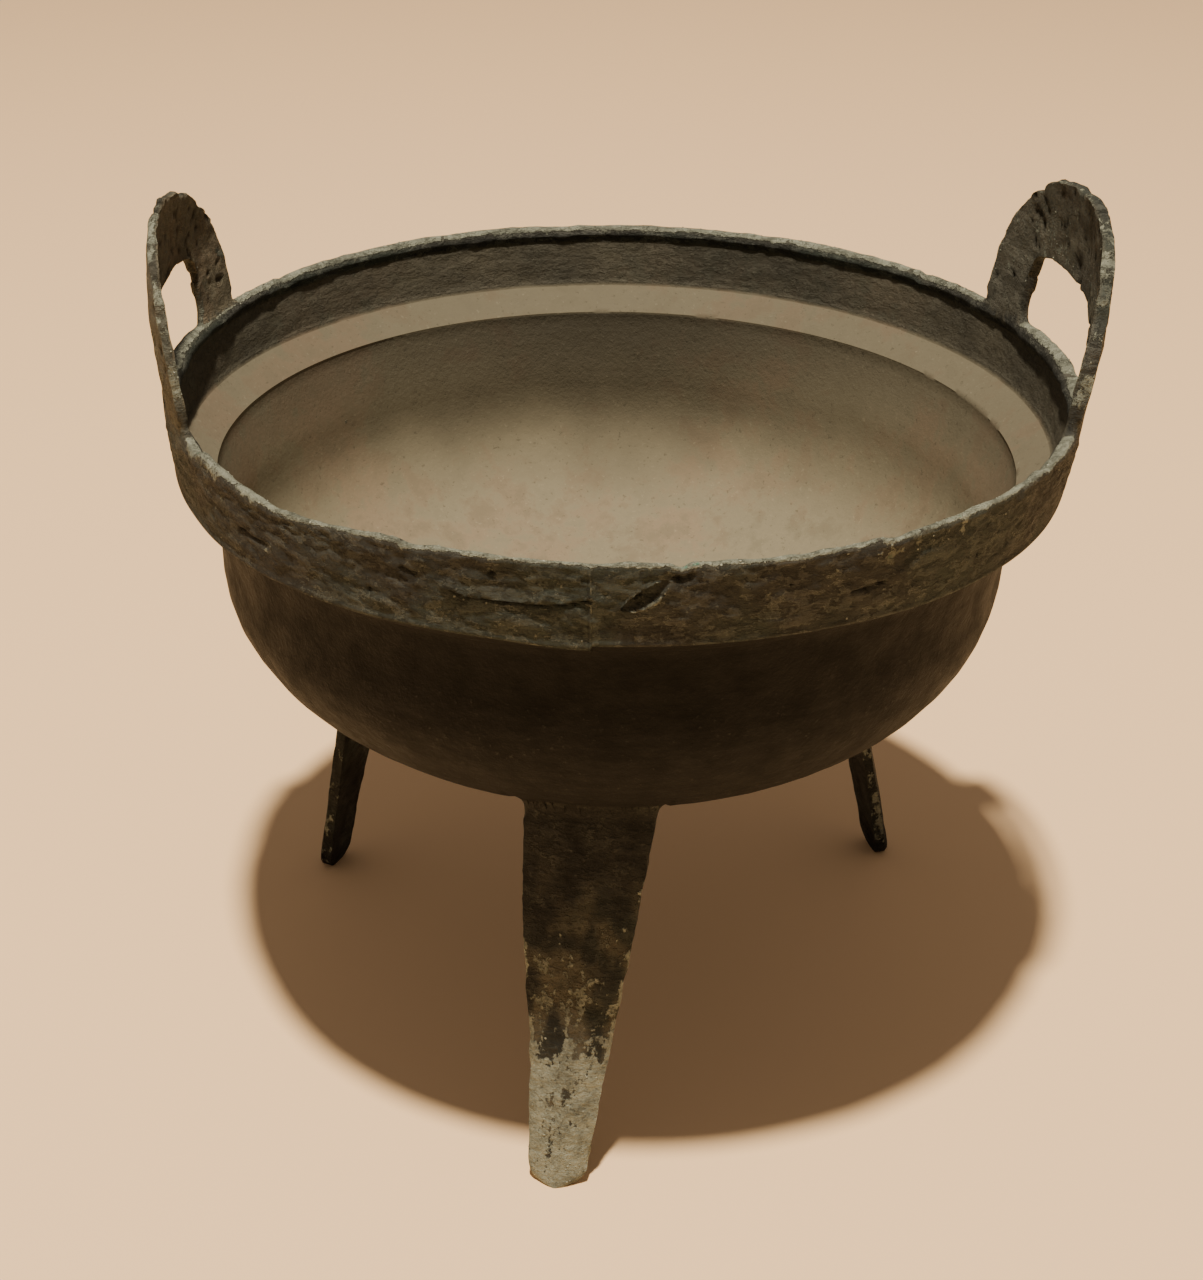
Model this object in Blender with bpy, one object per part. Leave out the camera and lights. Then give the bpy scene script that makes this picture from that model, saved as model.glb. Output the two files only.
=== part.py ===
"""Cast bronze ding: a bowl with a stepped dish mouth, two loop ears and three splayed plate legs."""

import math

import bmesh
import bpy
import numpy as np

# The ring of the mouth
RIM_RADIUS = 0.1230          # outer edge of the lip, before the ring's oval shape
RIM_HEIGHT = 0.1947          # top of the lip above the floor
RIM_OVAL = 0.0224            # how far the lip is from a circle, as a share of its radius
OVAL_ANGLE = math.radians(124.0)   # the long way of the oval, from +X
MOUTH_SHIFT = 0.0013         # lip's middle to the right of the bowl's
LIP_WIDTH = 0.0037
LIP_FALL = 0.0016            # how much lower the lip's inner edge is
LIP_DEPTH = 0.0042           # height of the bead below the top of the lip
LIP_OVERHANG = 0.0009        # bead's reach past the collar's inner wall
COLLAR_HEIGHT = 0.0221       # from the collar's foot edge up to the top of the lip
COLLAR_FLARE = 0.0020        # how much wider the lip is than the collar's foot, on the radius
COLLAR_WALL = 0.0033         # thickness at the ledge
STEP_WIDTH = 0.0098          # from the collar's foot edge in to the bowl's wall
STEP_FALL = 0.0062           # how much lower the step is at the bowl's wall
LEDGE_DROP = 0.0177          # from the top of the lip down to the ledge at the collar
LEDGE_WIDTH = 0.0093
LEDGE_FALL = 0.0070          # how much lower the ledge is at the bowl's mouth

# The bowl
BOWL_OVAL = 0.0133           # how far the bowl and the ledge are from a circle
BOWL_RADIUS = 0.1083         # outside, at its centre height
BOWL_DROP = 0.0475           # from the top of the lip down to the bowl's centre height
BOWL_DEPTH = 0.0576          # outside, below the centre height
BOWL_SQUARENESS = 2.3        # power of the section's curve: 2 is an ellipse
BOWL_WALL = 0.0030
NECK_POWER = 1.5             # power of the curve from the bowl's widest part up to the step and the ledge

# The ears
EAR_HALF_SPREAD = math.radians(25.0)   # half the ear's width at the rim, as an angle about the axis
EAR_SQUARENESS = 2.45        # power of the outline's curve
EAR_SETBACK = 0.0004         # the ear's outer face behind the lip's outer edge
EAR_ROOT = 0.0030            # how far the ear's ends are sunk in the lip
HOLE_HALF_SPREAD = math.radians(14.2)
HOLE_HEIGHT = 0.0210
HOLE_SQUARENESS = 3.0
RIGHT_EAR_ANGLE = math.radians(0.5)
RIGHT_EAR_HEIGHT = 0.0452    # above the lip
RIGHT_EAR_THICKNESS = 0.0042
RIGHT_EAR_LEAN = 0.090       # outward slope
LEFT_EAR_ANGLE = math.radians(180.0)
LEFT_EAR_HEIGHT = 0.0430
LEFT_EAR_THICKNESS = 0.0033
LEFT_EAR_LEAN = 0.020

# The legs
FOOT_RADIUS = 0.1058         # foot centres from the axis
LEG_TOP_RADIUS = 0.0815      # leg centres from the axis where they meet the bowl
FRONT_FOOT_ANGLE = math.radians(-98.8)
FRONT_LEG_SWING = math.radians(5.2)    # how far the leg's top is turned on from its foot
FRONT_LEG_FACING = 0.0                 # the plate's turn from facing straight outwards
FRONT_LEG_TOP_WIDTH = 0.0324
FRONT_FOOT_WIDTH = 0.0150
RIGHT_FOOT_ANGLE = math.radians(31.8)
RIGHT_LEG_SWING = math.radians(5.0)
RIGHT_LEG_FACING = math.radians(-16.0)
RIGHT_LEG_TOP_WIDTH = 0.0260
RIGHT_FOOT_WIDTH = 0.0125
LEFT_FOOT_ANGLE = math.radians(152.7)
LEFT_LEG_SWING = math.radians(-3.0)
LEFT_LEG_FACING = math.radians(3.0)
LEFT_LEG_TOP_WIDTH = 0.0280
LEFT_FOOT_WIDTH = 0.0125
LEG_EDGE_THICKNESS = 0.0032
LEG_RIDGE_THICKNESS = 0.0058
FOOT_ROUNDING = 0.0045       # radius of the foot's lower corners

RING_STEPS = 72
BOWL_STEPS = 12
EAR_STEPS = 36
EAR_BANDS = 3
LEG_STEPS = 8
LEG_COLUMNS = 8
NECK_SHARES = (0.35, 0.75, 1.0)      # levels of the neck outside, and inside below the ledge
NECK_SHARES_INSIDE = (0.93, 0.6, 0.3)

# Levels and radii that follow from the sizes
COLLAR_FOOT_RADIUS = RIM_RADIUS - COLLAR_FLARE
COLLAR_FOOT_HEIGHT = RIM_HEIGHT - COLLAR_HEIGHT
LEDGE_OUTER_HEIGHT = RIM_HEIGHT - LEDGE_DROP
LEDGE_OUTER_RADIUS = RIM_RADIUS - COLLAR_FLARE * LEDGE_DROP / COLLAR_HEIGHT - COLLAR_WALL
LEDGE_INNER_HEIGHT = LEDGE_OUTER_HEIGHT - LEDGE_FALL
LEDGE_INNER_RADIUS = LEDGE_OUTER_RADIUS - LEDGE_WIDTH
BOWL_CENTRE_HEIGHT = RIM_HEIGHT - BOWL_DROP


def oval(radius, angle, height):
    """Radius of the slightly oval ring at a height; the mouth is more oval than the bowl."""
    share = (height - COLLAR_FOOT_HEIGHT) / COLLAR_HEIGHT
    share = min(max(share, 0.0), 1.0)
    stretch = BOWL_OVAL + (RIM_OVAL - BOWL_OVAL) * share
    aside = MOUTH_SHIFT * share * math.cos(angle)
    return radius * (1.0 + stretch * math.cos(2.0 * (angle - OVAL_ANGLE))) + aside


def bronze():
    """Dark brown patinated bronze."""
    material = bpy.data.materials.new("ding_vessel")
    material.use_nodes = True
    shader = material.node_tree.nodes["Principled BSDF"]
    shader.inputs["Base Color"].default_value = (0.105, 0.080, 0.052, 1.0)
    shader.inputs["Roughness"].default_value = 0.62
    shader.inputs["Metallic"].default_value = 0.25
    return material


def bowl_curve(radius, depth, turn):
    """Point of the bowl's section, from its bottom at turn 0 to its widest at a quarter turn."""
    power = 2.0 / BOWL_SQUARENESS
    return radius * math.sin(turn) ** power, BOWL_CENTRE_HEIGHT - depth * abs(math.cos(turn)) ** power


def neck(low, high, share):
    """Point between the bowl's widest part and the step or ledge above it, both as (radius, height)."""
    return low[0] + (high[0] - low[0]) * share ** NECK_POWER, low[1] + (high[1] - low[1]) * share


def lip_section():
    """The lip's bead as (radius, height) pairs, from its outer top edge to its inner lower edge."""
    corner = 0.25 * LIP_DEPTH
    inner = RIM_RADIUS - LIP_WIDTH
    return [
        (RIM_RADIUS, RIM_HEIGHT - corner),
        (RIM_RADIUS - 0.4 * corner, RIM_HEIGHT - 0.3 * corner),
        (RIM_RADIUS - corner, RIM_HEIGHT),
        (RIM_RADIUS - 0.6 * LIP_WIDTH, RIM_HEIGHT - 0.25 * LIP_FALL),
        (inner + 0.6 * corner, RIM_HEIGHT - 0.7 * LIP_FALL),
        (inner, RIM_HEIGHT - LIP_FALL - corner),
        (inner + 0.4 * LIP_OVERHANG, RIM_HEIGHT - 0.75 * LIP_DEPTH),
        (inner + LIP_OVERHANG, RIM_HEIGHT - LIP_DEPTH),
    ]


def body_profile():
    """Wall section as (radius, height) pairs: up the outside, over the lip and down the inside."""
    points = []
    for step in range(BOWL_STEPS + 1):
        points.append(bowl_curve(BOWL_RADIUS, BOWL_DEPTH, 0.5 * math.pi * step / BOWL_STEPS))
    outer_step = (COLLAR_FOOT_RADIUS - STEP_WIDTH, COLLAR_FOOT_HEIGHT - STEP_FALL)
    for share in NECK_SHARES:
        points.append(neck((BOWL_RADIUS, BOWL_CENTRE_HEIGHT), outer_step, share))
    foot_round = 0.1 * STEP_WIDTH
    points.append((COLLAR_FOOT_RADIUS - foot_round, COLLAR_FOOT_HEIGHT - 0.7 * foot_round))
    points.append((COLLAR_FOOT_RADIUS, COLLAR_FOOT_HEIGHT))
    flare = COLLAR_FLARE / COLLAR_HEIGHT
    points.append((COLLAR_FOOT_RADIUS + flare * LIP_DEPTH, COLLAR_FOOT_HEIGHT + LIP_DEPTH))
    points.append((RIM_RADIUS - flare * LIP_DEPTH, RIM_HEIGHT - LIP_DEPTH))
    points += lip_section()
    points.append((LEDGE_OUTER_RADIUS, LEDGE_OUTER_HEIGHT))
    points.append((LEDGE_INNER_RADIUS, LEDGE_INNER_HEIGHT))
    inner_radius = BOWL_RADIUS - BOWL_WALL
    inner_depth = BOWL_DEPTH - BOWL_WALL
    inner_ledge = (LEDGE_INNER_RADIUS, LEDGE_INNER_HEIGHT)
    for share in NECK_SHARES_INSIDE:
        points.append(neck((inner_radius, BOWL_CENTRE_HEIGHT), inner_ledge, share))
    for step in range(BOWL_STEPS, -1, -1):
        points.append(bowl_curve(inner_radius, inner_depth, 0.5 * math.pi * step / BOWL_STEPS))
    return points


def finish(mesh_builder, name, material):
    """Makes an object of the built mesh."""
    bmesh.ops.recalc_face_normals(mesh_builder, faces=mesh_builder.faces[:])
    mesh = bpy.data.meshes.new(name)
    mesh_builder.to_mesh(mesh)
    mesh_builder.free()
    obj = bpy.data.objects.new(name, mesh)
    bpy.context.scene.collection.objects.link(obj)
    mesh.materials.append(material)
    return obj


def make_body(name, material):
    """Bowl, step, collar and lip as one oval turned shell."""
    build = bmesh.new()
    angles = [2.0 * math.pi * step / RING_STEPS for step in range(RING_STEPS)]
    rings = []
    for radius, height in body_profile():
        if radius < 1e-6:
            rings.append([build.verts.new((0.0, 0.0, height))])
            continue
        ring = []
        for angle in angles:
            reach = oval(radius, angle, height)
            ring.append(build.verts.new((reach * math.cos(angle), reach * math.sin(angle), height)))
        rings.append(ring)
    for lower, upper in zip(rings, rings[1:]):
        for step in range(RING_STEPS):
            after = (step + 1) % RING_STEPS
            corners = [lower[step % len(lower)], lower[after % len(lower)],
                       upper[after % len(upper)], upper[step % len(upper)]]
            build.faces.new(list(dict.fromkeys(corners)))
    return finish(build, name, material)


def arch(half_spread, height, squareness, turn):
    """Point of an arch's outline: angle from its middle line and height above the lip."""
    across = math.copysign(abs(math.cos(turn)) ** (2.0 / squareness), math.cos(turn))
    return half_spread * across, height * abs(math.sin(turn)) ** (2.0 / squareness)


def make_ear(name, material, angle, height, thickness, lean):
    """Loop ear: a band along an arch, standing over the collar, with its ends sunk in the lip."""
    build = bmesh.new()
    rings = []
    for step in range(-1, EAR_STEPS + 2):
        turn = math.pi * min(max(step, 0), EAR_STEPS) / EAR_STEPS
        outer = arch(EAR_HALF_SPREAD, height, EAR_SQUARENESS, turn)
        inner = arch(HOLE_HALF_SPREAD, HOLE_HEIGHT, HOLE_SQUARENESS, turn)
        sunk = -EAR_ROOT if step in (-1, EAR_STEPS + 1) else 0.0
        rounding = 0.25 * thickness
        edge = rounding / (outer[1] - inner[1]) if step not in (-1, 0, EAR_STEPS, EAR_STEPS + 1) else 0.0
        edge = edge or rounding / (RIM_RADIUS * (EAR_HALF_SPREAD - HOLE_HALF_SPREAD))
        shares = [band / EAR_BANDS for band in range(1, EAR_BANDS)]
        outside = [(edge, 0.0)] + [(share, 0.0) for share in shares] + [(1.0 - edge, 0.0)]
        section = [(0.0, rounding)] + outside + [(1.0, rounding), (1.0, thickness - rounding)]
        section += [(share, thickness) for share, depth in reversed(outside)]
        section += [(0.0, thickness - rounding)]
        ring = []
        for share, depth in section:
            spread = outer[0] + (inner[0] - outer[0]) * share
            rise = outer[1] + (inner[1] - outer[1]) * share + sunk
            reach = oval(RIM_RADIUS, angle + spread, RIM_HEIGHT) - EAR_SETBACK - depth + lean * rise
            ring.append(build.verts.new((reach * math.cos(angle + spread), reach * math.sin(angle + spread),
                                         RIM_HEIGHT + rise)))
        rings.append(ring)
    count = len(rings[0])
    for near, far in zip(rings, rings[1:]):
        for point in range(count):
            after = (point + 1) % count
            build.faces.new((near[point], near[after], far[after], far[point]))
    build.faces.new(rings[0])
    build.faces.new(rings[-1])
    bmesh.ops.triangulate(build, faces=build.faces[:])
    return finish(build, name, material)


def wall_height(x, y):
    """Height of the middle of the bowl's wall over a point of the floor."""
    share = math.hypot(x, y) / oval(BOWL_RADIUS - 0.5 * BOWL_WALL, math.atan2(y, x), 0.0)
    drop = max(0.0, 1.0 - share ** BOWL_SQUARENESS) ** (1.0 / BOWL_SQUARENESS)
    return BOWL_CENTRE_HEIGHT - (BOWL_DEPTH - 0.5 * BOWL_WALL) * drop


def make_leg(name, material, angle, swing, facing, top_width, foot_width):
    """Plate leg, flat inside and ridged outside, tapering to a rounded foot with a flat sole."""
    outward = np.array((math.cos(angle + facing), math.sin(angle + facing)))
    along = np.array((-math.sin(angle + facing), math.cos(angle + facing)))
    foot = FOOT_RADIUS * np.array((math.cos(angle), math.sin(angle)))
    top = LEG_TOP_RADIUS * np.array((math.cos(angle + swing), math.sin(angle + swing)))
    top_height = wall_height(top[0], top[1])
    build = bmesh.new()
    heights = [0.0, 0.3 * FOOT_ROUNDING, FOOT_ROUNDING]
    stretch = 0.85 * top_height - FOOT_ROUNDING
    heights += [FOOT_ROUNDING + stretch * step / LEG_STEPS for step in range(1, LEG_STEPS + 1)]
    heights.append(None)
    rings = []
    for height in heights:
        level = top_height if height is None else height
        share = level / top_height
        centre = foot + (top - foot) * share
        half = 0.5 * (foot_width + (top_width - foot_width) * share)
        cut = max(0.0, FOOT_ROUNDING - level)
        half -= FOOT_ROUNDING - math.sqrt(FOOT_ROUNDING ** 2 - cut ** 2)
        inner = []
        outer = []
        for column in range(LEG_COLUMNS + 1):
            across = 2.0 * column / LEG_COLUMNS - 1.0
            bulge = 1.0 - across ** 2
            thick = LEG_EDGE_THICKNESS + (LEG_RIDGE_THICKNESS - LEG_EDGE_THICKNESS) * bulge
            for side, depth in ((inner, 0.0), (outer, thick)):
                place = centre + along * half * across + outward * (depth - 0.5 * LEG_RIDGE_THICKNESS)
                end = wall_height(place[0], place[1]) if height is None else height
                side.append(build.verts.new((place[0], place[1], end)))
        rings.append(inner + outer[::-1])
    count = len(rings[0])
    for near, far in zip(rings, rings[1:]):
        for point in range(count):
            after = (point + 1) % count
            build.faces.new((near[point], near[after], far[after], far[point]))
    for ring in (rings[0], rings[-1]):
        for column in range(LEG_COLUMNS):
            opposite = count - 1 - column
            build.faces.new((ring[column], ring[column + 1], ring[opposite - 1], ring[opposite]))
    return finish(build, name, material)


def join(target, others):
    """Joins the cast pieces into one closed body."""
    for other in others:
        modifier = target.modifiers.new(other.name, "BOOLEAN")
        modifier.operation = "UNION"
        modifier.solver = "EXACT"
        modifier.object = other
    evaluated = target.evaluated_get(bpy.context.evaluated_depsgraph_get())
    mesh = bpy.data.meshes.new_from_object(evaluated)
    target.modifiers.clear()
    target.data = mesh
    for other in others:
        bpy.data.objects.remove(other, do_unlink=True)


def centre_on_floor(obj):
    """Moves the finished casting so that its box is centred over the origin."""
    corners = np.array([vertex.co for vertex in obj.data.vertices])
    middle = 0.5 * (corners.min(axis=0) + corners.max(axis=0))
    for vertex in obj.data.vertices:
        vertex.co.x -= middle[0]
        vertex.co.y -= middle[1]


def main():
    for obj in list(bpy.data.objects):
        bpy.data.objects.remove(obj, do_unlink=True)
    material = bronze()
    vessel = make_body("ding_vessel", material)
    pieces = [
        make_ear("ear_right", material, RIGHT_EAR_ANGLE, RIGHT_EAR_HEIGHT, RIGHT_EAR_THICKNESS,
                 RIGHT_EAR_LEAN),
        make_ear("ear_left", material, LEFT_EAR_ANGLE, LEFT_EAR_HEIGHT, LEFT_EAR_THICKNESS, LEFT_EAR_LEAN),
        make_leg("leg_front", material, FRONT_FOOT_ANGLE, FRONT_LEG_SWING, FRONT_LEG_FACING,
                 FRONT_LEG_TOP_WIDTH, FRONT_FOOT_WIDTH),
        make_leg("leg_right", material, RIGHT_FOOT_ANGLE, RIGHT_LEG_SWING, RIGHT_LEG_FACING,
                 RIGHT_LEG_TOP_WIDTH, RIGHT_FOOT_WIDTH),
        make_leg("leg_left", material, LEFT_FOOT_ANGLE, LEFT_LEG_SWING, LEFT_LEG_FACING,
                 LEFT_LEG_TOP_WIDTH, LEFT_FOOT_WIDTH),
    ]
    join(vessel, pieces)
    centre_on_floor(vessel)
    vessel.data.set_sharp_from_angle(angle=math.radians(35.0))
    print("casting centred", [round(side, 4) for side in vessel.dimensions])


main()
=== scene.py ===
"""An old bronze ding as it was dug up: worn lip, corroded collar, ragged ears and a dusty inside."""

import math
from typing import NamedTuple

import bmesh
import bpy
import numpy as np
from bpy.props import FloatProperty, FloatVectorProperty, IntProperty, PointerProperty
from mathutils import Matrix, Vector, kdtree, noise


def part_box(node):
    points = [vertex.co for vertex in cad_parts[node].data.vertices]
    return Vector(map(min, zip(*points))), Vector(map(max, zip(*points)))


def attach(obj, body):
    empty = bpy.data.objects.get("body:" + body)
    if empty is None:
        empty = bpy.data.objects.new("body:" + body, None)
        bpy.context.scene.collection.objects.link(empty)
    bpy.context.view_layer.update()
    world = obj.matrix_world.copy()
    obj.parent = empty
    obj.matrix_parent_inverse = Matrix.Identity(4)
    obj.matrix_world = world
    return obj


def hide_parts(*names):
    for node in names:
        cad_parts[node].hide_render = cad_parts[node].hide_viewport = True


bl_info = {
    "name": "Bronze Ding",
    "version": (1, 0, 0),
    "blender": (4, 5, 0),
    "location": "3D View > Sidebar > Ding",
    "description": "Builds a cast bronze ding with its wear, corrosion and patina on a plain pale floor",
    "category": "Add Mesh",
}

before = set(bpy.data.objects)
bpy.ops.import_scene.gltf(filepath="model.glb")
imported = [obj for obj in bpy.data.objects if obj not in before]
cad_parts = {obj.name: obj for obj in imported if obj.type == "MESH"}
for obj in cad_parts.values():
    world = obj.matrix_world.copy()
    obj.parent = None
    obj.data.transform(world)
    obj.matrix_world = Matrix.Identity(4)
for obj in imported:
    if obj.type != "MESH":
        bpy.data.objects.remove(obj)  # frame["bodies"], ["nodes"], ["joints"], ["record"]

CAD_LOW, CAD_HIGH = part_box("ding_vessel")

# The vessel's axis stands a little to the left of the middle of its box
AXIS_X = -0.00286

# The ring of the mouth
RIM_RADIUS = 0.1230
RIM_HEIGHT = 0.1947
RIM_OVAL = 0.0224
OVAL_ANGLE = math.radians(124.0)
MOUTH_SHIFT = 0.0013
LIP_WIDTH = 0.0037
LIP_FALL = 0.0016
LIP_DEPTH = 0.0042
LIP_OVERHANG = 0.0009
COLLAR_HEIGHT = 0.0221
COLLAR_FLARE = 0.0020
COLLAR_WALL = 0.0033
STEP_WIDTH = 0.0098
STEP_FALL = 0.0062
LEDGE_DROP = 0.0177
LEDGE_WIDTH = 0.0093
LEDGE_FALL = 0.0070
LEDGE_EDGE = 0.0008          # height of the crisp edge where the ledge ends

# The bowl
BOWL_OVAL = 0.0133
BOWL_RADIUS = 0.1083
BOWL_DROP = 0.0475
BOWL_DEPTH = 0.0576
BOWL_SQUARENESS = 2.3
BOWL_WALL = 0.0030
NECK_POWER = 1.5

# Levels and radii that follow from the sizes
COLLAR_FOOT_RADIUS = RIM_RADIUS - COLLAR_FLARE
COLLAR_FOOT_HEIGHT = RIM_HEIGHT - COLLAR_HEIGHT
LEDGE_OUTER_HEIGHT = RIM_HEIGHT - LEDGE_DROP
LEDGE_OUTER_RADIUS = RIM_RADIUS - COLLAR_FLARE * LEDGE_DROP / COLLAR_HEIGHT - COLLAR_WALL
LEDGE_INNER_HEIGHT = LEDGE_OUTER_HEIGHT - LEDGE_FALL
LEDGE_INNER_RADIUS = LEDGE_OUTER_RADIUS - LEDGE_WIDTH
BOWL_CENTRE_HEIGHT = RIM_HEIGHT - BOWL_DROP

# The ears
EAR_HALF_SPREAD = math.radians(25.0)
EAR_SQUARENESS = 2.45
EAR_SETBACK = 0.0001
EAR_ROOT = 0.0030
HOLE_HALF_SPREAD = math.radians(14.2)
HOLE_HEIGHT = 0.0210
HOLE_SQUARENESS = 3.0        # of its top corner on the side of the viewer
HOLE_FAR_SQUARENESS = 6.5    # and of the one behind
HOLE_WIDENING = 1.05
CROWN_DRAW_IN = 0.0014       # how far the crown leans back in
CROWN_WEAR = 0.0004
CROWN_ROUGHNESS = 0.0006
HOLE_ROUGHNESS = 0.00045
EAR_ROUGHNESS = 0.00042
EAR_PIT_DEPTH = 0.0005
EAR_THINNING = 0.10          # share of its thickness that an ear loses up to its crown

# The legs
FOOT_RADIUS = 0.1058
LEG_TOP_RADIUS = 0.0815
LEG_EDGE_THICKNESS = 0.0032
LEG_RIDGE_THICKNESS = 0.0058
FOOT_ROUNDING = 0.0045
LEG_RIDGE = 0.00030          # height of the fine ridge down the middle of the outer face
LEG_WAVES = 0.00040
LEG_ROUGHNESS = 0.00010
CRUST_ROUGHNESS = 0.00028
LEG_EDGE_WEAR = 0.0005

# How finely the casting is drawn
RING_STEPS = 470
CROWDING = (                 # middle and reach in degrees, and how much closer the steps stand there
    (-90.0, 85.0, 2.3),
    (-88.5, 8.0, 2.0),
    (-92.9, 0.8, 9.0),
)
CROWDING_SAMPLES = 7200
POLE_GAP = 0.004             # angle at the bowl's pole that a fan closes
EAR_STEPS = 130
EAR_BANDS = 13
LEG_STEPS = 92
LEG_COLUMNS = 20
# one of these marks is painted shade; the dust mark also holds painted shade inside the bowl, and the crust
# mark painted highlights on the collar and lip
MARKS = ("dust", "brown", "crust", "verdigris", "painted_shade", "cords")


def rough(points, size, seed=0.0, octaves=3):
    """Smooth noise from about -1 to 1 at each point, with forms of that size in metres."""
    places = (points / size + seed).reshape(-1, 3).tolist()
    values = [noise.fractal(place, 1.0, 2.0, octaves) for place in places]
    return np.array(values).reshape(points.shape[:-1])


def ramp(low, high, value):
    """0 below the low value and 1 above the high one, with a smooth rise between."""
    share = np.clip((value - low) / (high - low), 0.0, 1.0)
    return share * share * (3.0 - 2.0 * share)


def hump(distance, reach):
    """1 in the middle, falling smoothly to 0 at the reach."""
    return 1.0 - ramp(0.0, reach, np.abs(distance))


def wrap(angle):
    """The same angle between minus and plus half a turn."""
    return (angle + math.pi) % (2.0 * math.pi) - math.pi


def around(angle, middle, spread):
    """1 at an angle given in degrees, falling smoothly to 0 over the spread on both sides."""
    return hump(wrap(angle - math.radians(middle)), math.radians(spread))


def oval(radius, angle, height):
    """Radius of the slightly oval ring at a height; the mouth is more oval than the bowl."""
    share = np.clip((height - COLLAR_FOOT_HEIGHT) / COLLAR_HEIGHT, 0.0, 1.0)
    stretch = BOWL_OVAL + (RIM_OVAL - BOWL_OVAL) * share
    return radius * (1.0 + stretch * np.cos(2.0 * (angle - OVAL_ANGLE))) + MOUTH_SHIFT * share * np.cos(angle)


def wall_height(x, y):
    """Height of the middle of the bowl's wall over a point of the floor."""
    share = np.hypot(x, y) / oval(BOWL_RADIUS - 0.5 * BOWL_WALL, np.arctan2(y, x), 0.0)
    drop = np.maximum(0.0, 1.0 - share ** BOWL_SQUARENESS) ** (1.0 / BOWL_SQUARENESS)
    return BOWL_CENTRE_HEIGHT - (BOWL_DEPTH - 0.5 * BOWL_WALL) * drop


def even(points, spacing):
    """The same line with its points at an even spacing; both ends stay."""
    points = np.array(points, float)
    run = np.concatenate([[0.0], np.cumsum(np.linalg.norm(np.diff(points, axis=0), axis=1))])
    marks = np.linspace(0.0, run[-1], max(1, round(run[-1] / spacing)) + 1)
    return np.stack([np.interp(marks, run, points[:, 0]), np.interp(marks, run, points[:, 1])], axis=1)


def bowl_line(radius, depth):
    """The bowl's section from close to its bottom pole up to its widest part."""
    power = 2.0 / BOWL_SQUARENESS
    turns = np.linspace(POLE_GAP, 0.5 * math.pi, 300)
    heights = BOWL_CENTRE_HEIGHT - depth * np.cos(turns).clip(0) ** power
    return np.stack([radius * np.sin(turns) ** power, heights], axis=1)


def neck_line(low, high):
    """The line from the bowl's widest part up to the step or ledge above it."""
    shares = np.linspace(0.0, 1.0, 20)
    radii = low[0] + (high[0] - low[0]) * shares ** NECK_POWER
    return np.stack([radii, low[1] + (high[1] - low[1]) * shares], axis=1)


def lip_line():
    """The bead of the lip, from the collar's outside over its edge and in to the collar's inner wall."""
    corner = 0.25 * LIP_DEPTH
    inner = RIM_RADIUS - LIP_WIDTH
    flare = COLLAR_FLARE / COLLAR_HEIGHT
    return [
        (RIM_RADIUS - flare * LIP_DEPTH, RIM_HEIGHT - LIP_DEPTH),
        (RIM_RADIUS, RIM_HEIGHT - corner),
        (RIM_RADIUS - 0.4 * corner, RIM_HEIGHT - 0.3 * corner),
        (RIM_RADIUS - corner, RIM_HEIGHT),
        (RIM_RADIUS - 0.6 * LIP_WIDTH, RIM_HEIGHT - 0.25 * LIP_FALL),
        (inner + 0.6 * corner, RIM_HEIGHT - 0.7 * LIP_FALL),
        (inner, RIM_HEIGHT - LIP_FALL - corner),
        (inner + 0.4 * LIP_OVERHANG, RIM_HEIGHT - 0.75 * LIP_DEPTH),
        (inner + LIP_OVERHANG, RIM_HEIGHT - LIP_DEPTH),
    ]


def wall_section():
    """The wall's section as fine (radius, height) points and the name of the region each lies on."""
    outer_wide = (BOWL_RADIUS, BOWL_CENTRE_HEIGHT)
    inner_wide = (BOWL_RADIUS - BOWL_WALL, BOWL_CENTRE_HEIGHT)
    step_in = (COLLAR_FOOT_RADIUS - STEP_WIDTH, COLLAR_FOOT_HEIGHT - STEP_FALL)
    foot_round = 0.1 * STEP_WIDTH
    foot_under = (COLLAR_FOOT_RADIUS - foot_round, COLLAR_FOOT_HEIGHT - 0.7 * foot_round)
    foot = (COLLAR_FOOT_RADIUS, COLLAR_FOOT_HEIGHT)
    lip = lip_line()
    ledge_out = (LEDGE_OUTER_RADIUS, LEDGE_OUTER_HEIGHT)
    ledge_in = (LEDGE_INNER_RADIUS, LEDGE_INNER_HEIGHT)
    ledge_under = (LEDGE_INNER_RADIUS + 0.2 * LEDGE_EDGE, LEDGE_INNER_HEIGHT - LEDGE_EDGE)
    stretches = [
        ("bowl", bowl_line(BOWL_RADIUS, BOWL_DEPTH), 0.0052),
        ("bowl", neck_line(outer_wide, step_in), 0.0028),
        ("step", [step_in, foot_under], 0.0022),
        ("collar", [foot_under, foot], 0.0008),
        ("collar", [foot, lip[0]], 0.00070),
        ("lip", lip, 0.00062),
        ("inside_collar", [lip[-1], ledge_out], 0.0013),
        ("ledge", [ledge_out, ledge_in], 0.0014),
        ("inside", [ledge_in, ledge_under], 0.0006),
        ("inside", neck_line(inner_wide, ledge_under)[::-1], 0.0032),
        ("inside", bowl_line(BOWL_RADIUS - BOWL_WALL, BOWL_DEPTH - BOWL_WALL)[::-1], 0.0056),
    ]
    points = []
    regions = []
    for region, line, spacing in stretches:
        fine = even(line, spacing)
        first = 1 if points else 0
        points += fine[first:].tolist()
        regions += [region] * (len(fine) - first)
    return np.array(points), np.array(regions)


def put(name, data):
    """A new object in the scene."""
    obj = bpy.data.objects.new(name, data)
    bpy.context.scene.collection.objects.link(obj)
    return obj


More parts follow.
